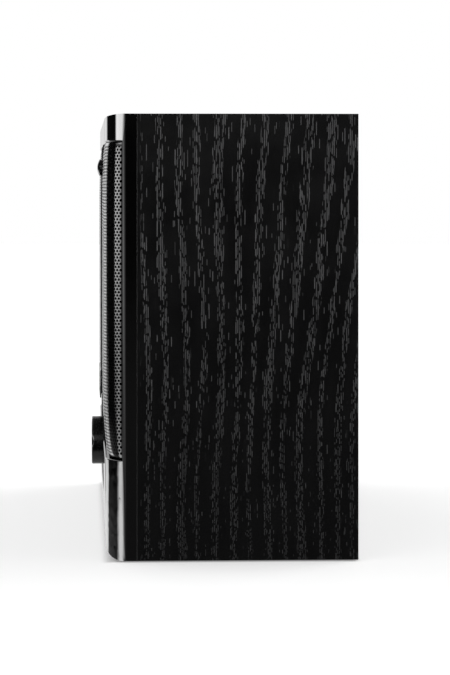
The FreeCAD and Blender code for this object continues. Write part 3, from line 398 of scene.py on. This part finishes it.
upright_veneer = veneer("wood_veneer_upright", "Z", "Y", "X", offset=0.1, cuts=32)
lying_veneer = veneer("wood_veneer_lying", "X", "Y", "Z", offset=0.5, cuts=70)
finishes = {
    "wood_veneer": upright_veneer,
    "fibreboard": fibreboard(),
    "gloss_black": gloss_black(),
    "black_plastic": moulded("black_plastic", 0.016, 0.48, 0.5 * MM, 0.05 * MM),
    "knob_black": moulded("knob_black", 0.0012, 0.2, 0.9 * MM, 0.012 * MM),
    "key_black": moulded("key_black", 0.0015, 0.15, 0.5 * MM, 0.01 * MM),
    "grille_metal": painted_mesh(),
    "smoked_lens": smoked_lens(),
    "display": display_panel(),
    "circuit_board": circuit_board(),
    "component_black": component_body(),
    "switch_metal": rubbed_metal("switch_metal", (0.62, 0.62, 0.60), 0.33, "X"),
    "steel": rubbed_metal("steel", (0.58, 0.57, 0.54), 0.3, "Y", 0.2),
    "black_steel": rubbed_metal("black_steel", (0.055, 0.055, 0.06), 0.42, "Y", 0.2),
    "brass": rubbed_metal("brass", (0.70, 0.48, 0.18), 0.28, "Y"),
    "heatsink": rubbed_metal("heatsink", (0.55, 0.56, 0.57), 0.38, "Z"),
    "driver_frame": moulded("driver_frame", 0.014, 0.4, 0.5 * MM, 0.02 * MM),
    "surround_rubber": rubber("surround_rubber", 0.007),
    "cone_paper": cone_paper(),
    "dust_cap": moulded("dust_cap", 0.010, 0.3, 1.2 * MM, 0.02 * MM),
    "coil_copper": copper_coil(),
    "spider_cloth": spider_cloth(),
    "ferrite": ferrite(),
    "rubber_feet": rubber("rubber_feet", 0.010),
}
LYING_BOARDS = ("cabinet_top_panel", "cabinet_bottom_panel")
for name, node in cad.items():
    node.data.materials.clear()
    node.data.materials.append(lying_veneer if name in LYING_BOARDS else finishes[slot_of[name]])


# ---- eased edges on the cabinet's boards ---------------------------------------------------------
# by modifiers: the CAD meshes keep their own vertices, and what is shown is eased
BOARD_EDGE = 0.1 * MM
CLOSE = 0.001 * MM            # corners nearer than this are one
for name in ("cabinet_left_panel", "cabinet_right_panel") + LYING_BOARDS:
    weld = cad[name].modifiers.new("weld", "WELD")
    weld.merge_threshold = CLOSE
    ease = cad[name].modifiers.new("ease", "BEVEL")
    ease.width = BOARD_EDGE
    ease.segments = 2


# ---- perforated grilles --------------------------------------------------------------------------
PITCH = 1.63 * MM             # hole to hole along a row; every other row is half a pitch along
HOLE_R = 0.6 * MM
SHEET = 0.5 * MM
CELL_R = PITCH / math.sqrt(3)  # centre to corner of the hexagon round each hole
STEP_S, STEP_Z = PITCH / 2, CELL_R / 2   # lattice on which every hexagon's corners lie
CORNER_REACH = 18.6 * MM      # the corner's curve: how far it reaches in from the side
CORNER_DEPTH = 8.2 * MM       # and how far it comes forward
INNER_R = 3 * MM              # bend beside the centre column
CREST_TOP, CREST_TOP_FALL = 30 * MM, 1.1 * MM      # the crest curves back at the top
CREST_LOW, CREST_LOW_FALL = 26 * MM, 2.6 * MM      # and at the bottom
EDGE_MARGIN = 0.1 * MM        # solid strip at the outer edge
END_MARGIN = 0.85 * MM        # and along the top and bottom
HOLE_SIDES = 8
# a hexagon's corners, clockwise from the top, in lattice steps
HEX_CORNERS = ((0, 2), (1, 1), (1, -1), (0, -2), (-1, -1), (-1, 1))
# for each point of a hole's rim, the corner of the hexagon nearest to it
NEAREST = [round((k + 0.5) / HOLE_SIDES * 6 - 1e-6) % 6 for k in range(HOLE_SIDES)]
CORNER_STEPS, BEND_STEPS = 96, 8
HEAD_SHARES = (0.6, 0.3, 0.12, 0.0)     # rows of the strip above the holes, as shares of its height
SHARP = math.radians(35)      # edges sharper than this are not smoothed over
JOIN = 0.0001 * MM            # the sheet's points nearer than this are one
TAB_HALF, TAB_THICK = 5 * MM, 0.8 * MM
TAB_LAP = 1 * MM              # how far a tab laps the inside of the sheet's edge
TAB_FROM_INNER, TAB_FROM_OUTER = 21.8 * MM, 31.2 * MM     # the middles of the tabs along the ends
TAB_FROM_MIDDLE = 40 * MM                                 # and of those beside the centre column


class PerforatedSheet:
    """One grille, drawn on its flat pattern: s runs round from the outer edge, z is height."""

    def __init__(self, side):
        low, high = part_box("grille_" + side)
        self.way = 1 if side == "right" else -1
        self.outer = max(abs(low.x), abs(high.x))
        self.inner = min(abs(low.x), abs(high.x))
        self.crest = low.y
        self.edge = self.crest + CORNER_DEPTH
        self.low, self.high = low.z, high.z
        self.plan = self.plan_points()
        self.points, self.faces, self.seen, self.tips = [], [], {}, {}

    def plan_points(self):
        """The sheet's plan as rows of (s, x, y): quarter ellipse, straight, bend, return."""
        outline = []
        for k in range(CORNER_STEPS + 1):
            turn = math.pi / 2 * k / CORNER_STEPS
            outline.append((self.outer - CORNER_REACH * (1 - math.cos(turn)),
                            self.edge - CORNER_DEPTH * math.sin(turn)))
        for k in range(BEND_STEPS + 1):
            turn = math.pi / 2 * k / BEND_STEPS
            outline.append((self.inner + INNER_R * (1 - math.sin(turn)),
                            self.crest + INNER_R * (1 - math.cos(turn))))
        outline.append((self.inner, self.edge))
        plan, run = [], 0.0
        for k, point in enumerate(outline):
            if k:
                run += math.dist(point, outline[k - 1])
            plan.append((run, *point))
        self.straight_end = plan[CORNER_STEPS + 1][0]
        self.bend_runs = [row[0] for row in plan[CORNER_STEPS + 2:]]
        return plan

    def place(self, s, z, inward=0.0):
        """Point of the outer face at (s, z), moved in along the plan's normal by inward."""
        k = 1
        while k < len(self.plan) - 1 and self.plan[k][0] < s:
            k += 1
        (s0, x0, y0), (s1, x1, y1) = self.plan[k - 1], self.plan[k]
        share = (s - s0) / (s1 - s0)
        x, y = x0 + share * (x1 - x0), y0 + share * (y1 - y0)
        length = s1 - s0
        normal = (-(y1 - y0) / length, (x1 - x0) / length)   # out of the sheet
        fall = 0.0
        top = (z - (self.high - CREST_TOP)) / CREST_TOP
        foot = ((self.low + CREST_LOW) - z) / CREST_LOW
        if top > 0:
            fall = CREST_TOP_FALL * (1 - math.sqrt(max(0.0, 1 - top * top)))
        elif foot > 0:
            fall = CREST_LOW_FALL * (1 - math.sqrt(max(0.0, 1 - foot * foot)))
        y = self.edge + (y - self.edge) * (1 - fall / CORNER_DEPTH)
        return Vector((self.way * (x - inward * normal[0]), y - inward * normal[1], z))

    def vertex(self, s, z):
        """Index of the outer face's vertex at (s, z), made once."""
        key = (round(s * 1e7), round(z * 1e7))
        if key not in self.seen:
            self.seen[key] = self.loose(self.place(s, z))
        return self.seen[key]

    def loose(self, point):
        """Index of a new vertex that is shared with nothing."""
        self.points.append(point)
        return len(self.points) - 1

    def face(self, *corners):
        """Adds a face whose corners run clockwise on the flat pattern."""
        self.faces.append(corners if self.way > 0 else corners[::-1])

    def strip(self, first, second):
        """Quads between two rows of vertices; the second is to the left when looking along the first."""
        for k in range(len(first) - 1):
            self.face(first[k], second[k], second[k + 1], first[k + 1])

    def at(self, i, j):
        """Lattice point (i, j) as (s, z)."""
        return EDGE_MARGIN + i * STEP_S, self.low + END_MARGIN + j * STEP_Z

    def cell(self, i, j):
        """The hexagon centred on lattice point (i, j), with a hole and the hole's wall."""
        corners = [self.vertex(*self.at(i + di, j + dj)) for di, dj in HEX_CORNERS]
        s, z = self.at(i, j)
        ring, back = [], []
        for k in range(HOLE_SIDES):
            turn = math.tau * (k + 0.5) / HOLE_SIDES
            rim_s, rim_z = s + HOLE_R * math.sin(turn), z + HOLE_R * math.cos(turn)
            ring.append(self.loose(self.place(rim_s, rim_z)))
            back.append(self.loose(self.place(rim_s, rim_z, SHEET)))
        for k in range(HOLE_SIDES):
            n = (k + 1) % HOLE_SIDES
            a, b = corners[NEAREST[k]], corners[NEAREST[n]]
            if a == b:
                self.face(a, ring[n], ring[k])
            else:
                self.face(a, b, ring[n], ring[k])
            self.face(ring[k], ring[n], back[n], back[k])

    def build(self):
        """The whole sheet as a mesh."""
        tall = self.high - self.low - 2 * END_MARGIN
        rows = int((tall - 2 * CELL_R) / (1.5 * CELL_R)) + 1
        columns = int((self.straight_end - EDGE_MARGIN) / PITCH)
        last = 2 * columns
        for row in range(rows):
            j = 2 + 3 * row
            start = 1 + row % 2
            for i in range(start, last, 2):
                self.cell(i, j)
            if row % 2:                      # half hexagons, without a hole, at both ends
                for i, way in ((0, 1), (last, -1)):
                    half = [self.vertex(*self.at(i, j + 2)), self.vertex(*self.at(i + way, j + 1)),
                            self.vertex(*self.at(i + way, j - 1)), self.vertex(*self.at(i, j - 2))]
                    self.face(*(half if way > 0 else half[::-1]))
        top_j = 4 + 3 * (rows - 1)
        self.end_fill(0, 1, 1, last)
        self.end_fill(top_j, -1, 1 + (rows - 1) % 2, last)
        self.rims(rows, top_j, last)
        return self.finish()

    def end_fill(self, j, way, start, last):
        """Triangles in the notches along the first or last row, between its cells' tips."""
        tips = sorted({0, last} | set(range(start, last, 2)))
        for a, b in zip(tips, tips[1:]):
            middle = (a + b) // 2 if b - a == 2 else (a if a == 0 else b)
            corners = [self.vertex(*self.at(a, j)), self.vertex(*self.at(middle, j + way)),
                       self.vertex(*self.at(b, j))]
            self.face(*(corners if way > 0 else corners[::-1]))
        self.tips[j] = tips

    def rims(self, rows, top_j, last):
        """The unperforated border, its returns, and the bend beside the centre column."""
        side_j = {0, top_j}
        for row in range(rows):
            reach = 2 if row % 2 else 1
            side_j |= {2 + 3 * row - reach, 2 + 3 * row + reach}
        foot_z = [self.low, self.low + END_MARGIN / 2]
        head_gap = self.high - self.at(0, top_j)[1]
        head_z = [self.high - head_gap * share for share in HEAD_SHARES]
        heights = foot_z + [self.at(0, j)[1] for j in sorted(side_j)] + head_z
        left_s = [0.0, EDGE_MARGIN]
        right_s = [self.at(last, 0)[0], self.straight_end] + self.bend_runs
        for columns in (left_s, right_s):
            for a, b in zip(columns, columns[1:]):
                self.strip([self.vertex(b, z) for z in heights], [self.vertex(a, z) for z in heights])
        for j, levels in ((0, foot_z + [self.at(0, 0)[1]]), (top_j, [self.at(0, top_j)[1]] + head_z)):
            across = [self.at(i, j)[0] for i in self.tips[j]]
            for a, b in zip(levels, levels[1:]):
                self.strip([self.vertex(s, a) for s in across], [self.vertex(s, b) for s in across])
        for z, j, way in ((self.low, 0, 1), (self.high, top_j, -1)):
            across = left_s[:1] + [self.at(i, j)[0] for i in self.tips[j]] + right_s[1:-1]
            front = [self.vertex(s, z) for s in across]
            back = [self.loose(Vector((self.points[v].x, self.edge, z))) for v in front]
            self.strip(*((back, front) if way > 0 else (front, back)))

    def finish(self):
        """The mesh made from the points and faces, with its fixing tabs behind it."""
        mesh = bpy.data.meshes.new("perforated_grille")
        mesh.from_pydata(self.points, [], self.faces)
        shell = bmesh.new()
        shell.from_mesh(mesh)
        self.tabs(shell)
        bmesh.ops.remove_doubles(shell, verts=shell.verts, dist=JOIN)
        bmesh.ops.dissolve_degenerate(shell, edges=shell.edges, dist=JOIN)
        shell.to_mesh(mesh)
        shell.free()
        mesh.shade_smooth()
        mesh.set_sharp_from_angle(angle=SHARP)
        return mesh

    def tabs(self, shell):
        """Bent tabs that hook into the bezel, two along each end and two beside the centre column."""
        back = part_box("grille_right")[1].y
        front = self.edge - TAB_LAP
        depth, y = back - front, (front + back) / 2
        for x in (self.inner + TAB_FROM_INNER, self.outer - TAB_FROM_OUTER):
            for z in (self.low + TAB_THICK / 2, self.high - TAB_THICK / 2):
                add_box(shell, (self.way * x, y, z), (2 * TAB_HALF, depth, TAB_THICK))
        middle = (self.low + self.high) / 2
        for z in (middle - TAB_FROM_MIDDLE, middle + TAB_FROM_MIDDLE):
            add_box(shell, (self.way * (self.inner + TAB_THICK / 2), y, z), (TAB_THICK, depth, 2 * TAB_HALF))


def add_box(shell, centre, lengths):
    """Adds a box to a bmesh."""
    made = bmesh.ops.create_cube(shell, size=1.0)["verts"]
    for vertex in made:
        vertex.co = Vector(c + v * length for c, v, length in zip(centre, vertex.co, lengths))


def shown(name, mesh, material):
    """Puts a new mesh in the scene with its material."""
    piece = bpy.data.objects.new(name, mesh)
    bpy.context.scene.collection.objects.link(piece)
    mesh.materials.append(material)
    return piece


for side in ("left", "right"):
    sheet = PerforatedSheet(side)
    grille = shown("perforated_grille_" + side, sheet.build(), finishes["grille_metal"])
    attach(grille, "root")
    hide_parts("grille_" + side)


# ---- printed marks -------------------------------------------------------------------------------
STANDBY_MARK_Z = 169 * MM
REAR_MARK_Z = 49 * MM
INK = 0.03 * MM               # thickness of the print
INK_GAP = 0.01 * MM           # and its clearance over the surface, so that the two never share a plane
ARC_STEPS = 24


def bar(x, z, wide, high):
    """Outline of a rectangle centred at (x, z), in millimetres."""
    return [(x - wide / 2, z - high / 2), (x + wide / 2, z - high / 2),
            (x + wide / 2, z + high / 2), (x - wide / 2, z + high / 2)]


def arrow(x, z, long, high):
    """Triangle with its base at x and its tip long away; a negative length points the other way."""
    return [(x, z - high / 2), (x + long, z), (x, z + high / 2)]


def arc(x, z, radius, line, start, end):
    """Part of a ring, between two angles in degrees."""
    angles = [math.radians(start + (end - start) * k / ARC_STEPS) for k in range(ARC_STEPS + 1)]
    outside, inside = ([(x + reach * math.cos(a), z + reach * math.sin(a)) for a in angles]
                       for reach in (radius + line / 2, radius - line / 2))
    return outside + inside[::-1]


PREVIOUS = [bar(-1.5, 0, 0.4, 1.8), arrow(0.0, 0, -1.2, 1.8), arrow(1.3, 0, -1.2, 1.8)]
NEXT = [bar(1.5, 0, 0.4, 1.8), arrow(0.0, 0, 1.2, 1.8), arrow(-1.3, 0, 1.2, 1.8)]
PLAY_PAUSE = [arrow(-1.8, 0, 1.6, 1.8), bar(0.6, 0, 0.45, 1.8), bar(1.5, 0, 0.45, 1.8)]
STOP = [bar(0, 0, 1.7, 1.7)]
MENU = [bar(0, dz, 2.2, 0.35) for dz in (-0.75, 0, 0.75)]
SOURCE = [arc(0, 0, 0.9, 0.3, 50, 310), arrow(-0.2, 0, 1.5, 0.9), bar(-0.5, 0, 0.8, 0.3)]
STANDBY = [arc(0, 0, 1.1, 0.35, 115, 425), bar(0, 0.8, 0.35, 1.5)]
HEADPHONES = [arc(0, 0, 1.3, 0.35, 0, 180), bar(-1.3, -0.4, 0.8, 1.3), bar(1.3, -0.4, 0.8, 1.3)]
LINE_IN = [arc(0, 0, 1.2, 0.3, 110, 430), arrow(0.6, 1.3, -1.0, 0.9)]
POLARITY = [arc(-2.1, 0, 0.8, 0.3, 0, 360), bar(-0.65, 0, 1.3, 0.3), arc(0, 0, 0.75, 0.3, 60, 300),
            bar(0.9, 0, 1.4, 0.3), arc(2.3, 0, 0.8, 0.3, 0, 360)]
USB = [bar(0, 0, 0.35, 3.2), arrow(-0.5, 1.9, 1.0, 0.3), arc(0, -1.8, 0.35, 0.4, 0, 360),
       bar(0.8, 0.2, 0.35, 1.2), bar(0.45, -0.4, 0.8, 0.3)]


def print_mark(name, outlines, x, y, z, body, way=-1):
    """Flat print on a face at y that looks along way; outlines are in millimetres about (x, z)."""
    mesh = bpy.data.meshes.new(name)
    shell = bmesh.new()
    near, far = y + way * INK_GAP, y + way * (INK_GAP + INK)
    for outline in outlines:
        spots = [(x - way * dx * MM, z + dz * MM) for dx, dz in outline]
        front = [shell.verts.new((px, far, pz)) for px, pz in spots]
        back = [shell.verts.new((px, near, pz)) for px, pz in spots]
        shell.faces.new(front)
        shell.faces.new(back[::-1])
        for k in range(len(spots)):
            n = (k + 1) % len(spots)
            shell.faces.new((front[k], back[k], back[n], front[n]))
    bmesh.ops.recalc_face_normals(shell, faces=shell.faces)
    bmesh.ops.triangulate(shell, faces=[face for face in shell.faces if len(face.verts) > 4])
    shell.to_mesh(mesh)
    shell.free()
    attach(shown(name, mesh, white_ink), body)


white_ink = printed_ink("white_ink", (0.62, 0.63, 0.64))
KEY_MARKS = {"key_upper_left": PREVIOUS, "key_upper_centre": PLAY_PAUSE, "key_upper_right": NEXT,
             "key_lower_left": SOURCE, "key_lower_centre": STOP, "key_lower_right": MENU}
for key, outlines in KEY_MARKS.items():
    low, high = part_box(key)
    print_mark("mark_" + key, outlines, (low.x + high.x) / 2, low.y, (low.z + high.z) / 2, key)
fascia_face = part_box("centre_fascia")[0].y
print_mark("mark_standby", STANDBY, 0.0, fascia_face, STANDBY_MARK_Z, "root")
rear_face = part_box("rear_panel")[1].y
for jack, outlines in (("aux_jack", LINE_IN), ("headphone_jack", HEADPHONES), ("usb_port", USB),
                       ("dc_jack", POLARITY)):
    low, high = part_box(jack)
    print_mark("mark_" + jack, outlines, (low.x + high.x) / 2, rear_face, REAR_MARK_Z, "root", 1)


# ---- floor, light and camera ---------------------------------------------------------------------
FLOOR_RADIUS = 6.0
FLOOR_GLOW, PAINTED_SHADOW_GLOW = 0.54, 0.2             # glow away from the object, and the lower glow against it that paints a contact shadow
PAINTED_SHADOW_FROM, PAINTED_SHADOW_TO = -3 * MM, 2.5 * MM     # where one passes into the other, across the outline


def lay_floor():
    """Pale round floor that glows a little away from the object, so that it shows white; against the object
    it glows less, which paints a contact shadow along the outline.
    """
    mesh = bpy.data.meshes.new("floor")
    disc = bmesh.new()
    bmesh.ops.create_circle(disc, cap_ends=True, radius=FLOOR_RADIUS, segments=96)
    disc.to_mesh(mesh)
    disc.free()
    m = Recipe("floor", Roughness=0.9, Emission_Color=grey(1.0))
    paper = m.noise(300 * MM, 3.0)
    m.colour(m.mixed(paper, grey(0.80), grey(0.82)))
    front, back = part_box("front_bezel")[0].y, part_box("cabinet_right_panel")[1].y
    half_wide, half_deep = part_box("cabinet_right_panel")[1].x, (back - front) / 2
    over_x = m.maths("SUBTRACT", m.maths("ABSOLUTE", m.axis("X")), half_wide)
    from_middle = m.maths("SUBTRACT", m.axis("Y"), (front + back) / 2)
    over_y = m.maths("SUBTRACT", m.maths("ABSOLUTE", from_middle), half_deep)
    outside = m.maths("MAXIMUM", over_x, over_y)      # how far outside the object's outline
    # less glow within a few millimetres of the outline: a painted contact shadow on the floor
    m.drive("Emission Strength", m.levels(outside, PAINTED_SHADOW_FROM, PAINTED_SHADOW_TO, PAINTED_SHADOW_GLOW, FLOOR_GLOW))
    floor = shown("floor", mesh, m.material)
    floor.visible_glossy = False


class Sky(Graph):
    """Studio lights as a world: soft boxes placed by bearing and elevation, all in degrees.

    Bearing 0 is +X and grows towards the front of the object, -Y."""

    def __init__(self):
        world = bpy.data.worlds.new("studio")
        bpy.context.scene.world = world
        world.use_nodes = True
        self.tree = world.node_tree
        self.tree.nodes.clear()
        direction = self.node("ShaderNodeTexCoord").outputs["Generated"]
        split = self.node("ShaderNodeSeparateXYZ", i0=direction)
        x, forward = split.outputs["X"], self.maths("MULTIPLY", split.outputs["Y"], -1.0)
        self.bearing = self.degrees(self.maths("ARCTAN2", forward, x))
        backward, left = self.maths("MULTIPLY", forward, -1.0), self.maths("MULTIPLY", x, -1.0)
        self.turned = self.degrees(self.maths("ARCTAN2", backward, left))
        self.elevation = self.degrees(self.maths("ARCSINE", split.outputs["Z"]))
        self.total = None

    def degrees(self, radians):
        return self.maths("MULTIPLY", radians, 180 / math.pi)

    def edge(self, value, at, soft, rising=True):
        """Goes from 0 to 1 within soft on either side of at, or from 1 to 0 when not rising."""
        return self.levels(value, at - soft, at + soft, *((0.0, 1.0) if rising else (1.0, 0.0)))

    def window(self, value, start, end, soft_start, soft_end):
        """Is 1 from start to end and 0 outside, with soft ends."""
        return self.maths("MULTIPLY", self.edge(value, start, soft_start),
                          self.edge(value, end, soft_end, False))

    def add(self, strength, elevations, bearings=None, soft=(2.0, 2.0, 2.0), behind=False):
        """A soft box; soft holds its edges' softness in elevation, at its first bearing and at its last.

        With behind, its bearings are counted from -X, and grow towards the back, +Y."""
        light = self.window(self.elevation, *elevations, soft[0], soft[0])
        if bearings:
            around = self.turned if behind else self.bearing
            light = self.maths("MULTIPLY", light, self.window(around, *bearings, *soft[1:]))
        light = self.maths("MULTIPLY", light, strength)
        self.total = light if self.total is None else self.maths("ADD", self.total, light)

    def finish(self):
        """Lights the object with the soft boxes and shows plain white behind it."""
        lamp = self.node("ShaderNodeBackground", Strength=self.total)
        plain = self.node("ShaderNodeBackground", Strength=1.0, Color=grey(1.0))
        seen = self.node("ShaderNodeLightPath").outputs["Is Camera Ray"]
        mix = self.node("ShaderNodeMixShader", i0=seen, i1=lamp.outputs[0], i2=plain.outputs[0])
        self.node("ShaderNodeOutputWorld", i0=mix.outputs[0])


def light_studio():
    sky = Sky()
    sky.add(0.02, (-95, 95))                                # ambient
    sky.add(16.5, (-3, 4.2), (25, 91), (2.5, 17, 7))        # key light, in front and to the right
    sky.add(1.2, (10, 50), (14, 80), (5, 8, 8))             # its diffuser, reaching higher
    sky.add(12.7, (-18, -5.5), (25, 72), (2, 17, 15))       # and its lower half, off the table
    sky.add(0.4, (-18, -7.5), (86, 156), (1.5, 4, 4))       # the table's glow in front
    sky.add(0.4, (-60, -18), (55, 150), (2, 10, 10))        # nearer the object
    sky.add(0.09, (-16, -3), (-60, 12), (2, 4, 4))          # and beside
    sky.add(1.0, (5, 28), (-50, 12), (4, 4, 4))             # dim card above the right-hand side
    sky.add(0.12, (45, 95), None, (8, 8, 8))                # overhead
    for start in (-85, 35):                                 # high up to the left, in front and at the back
        sky.add(2.0, (30, 70), (start, start + 50), (8, 8, 8), True)
    sky.add(0.6, (-100, -50), None, (6, 6, 6))              # bounce from the table
    sky.add(0.95, (-5, 45), (-29, 28), (2, 2, 2), True)     # pale wall beyond the left-hand side
    sky.add(0.95, (-45, -5), (-40, 40), (2, 2, 2), True)    # and the table in front of it
    sky.add(1.4, (-5, 45), (-31, -14), (2, 2, 5), True)     # window on that wall's near end
    sky.add(2.0, (-19, -5), (-40, -24), (2, 3, 5), True)    # and its light on the table
    sky.add(0.9, (-20, 60), (-140, -55), (12, 12, 12))      # fill for the back
    sky.finish()


CAMERA_AT = (1.25, -0.0645, 0.167)
CAMERA_TURN = math.radians(2.39)                 # away from square on, towards the back


def place_camera():
    """Square on to the right-hand side, a little above and in front of the middle."""
    camera = bpy.data.objects.new("camera", bpy.data.cameras.new("camera"))
    bpy.context.scene.collection.objects.link(camera)
    camera.location = CAMERA_AT
    aim = Vector((-math.cos(CAMERA_TURN), math.sin(CAMERA_TURN), 0))
    camera.rotation_euler = aim.to_track_quat("-Z", "Y").to_euler()
    camera.data.lens = 131.7
    camera.data.shift_x = 0.06
    camera.data.shift_y = -0.2221
    camera.data.clip_start = 0.05
    bpy.context.scene.camera = camera


lay_floor()
light_studio()
place_camera()
bpy.context.scene.view_settings.view_transform = "Standard"
bpy.context.scene.view_settings.look = "None"
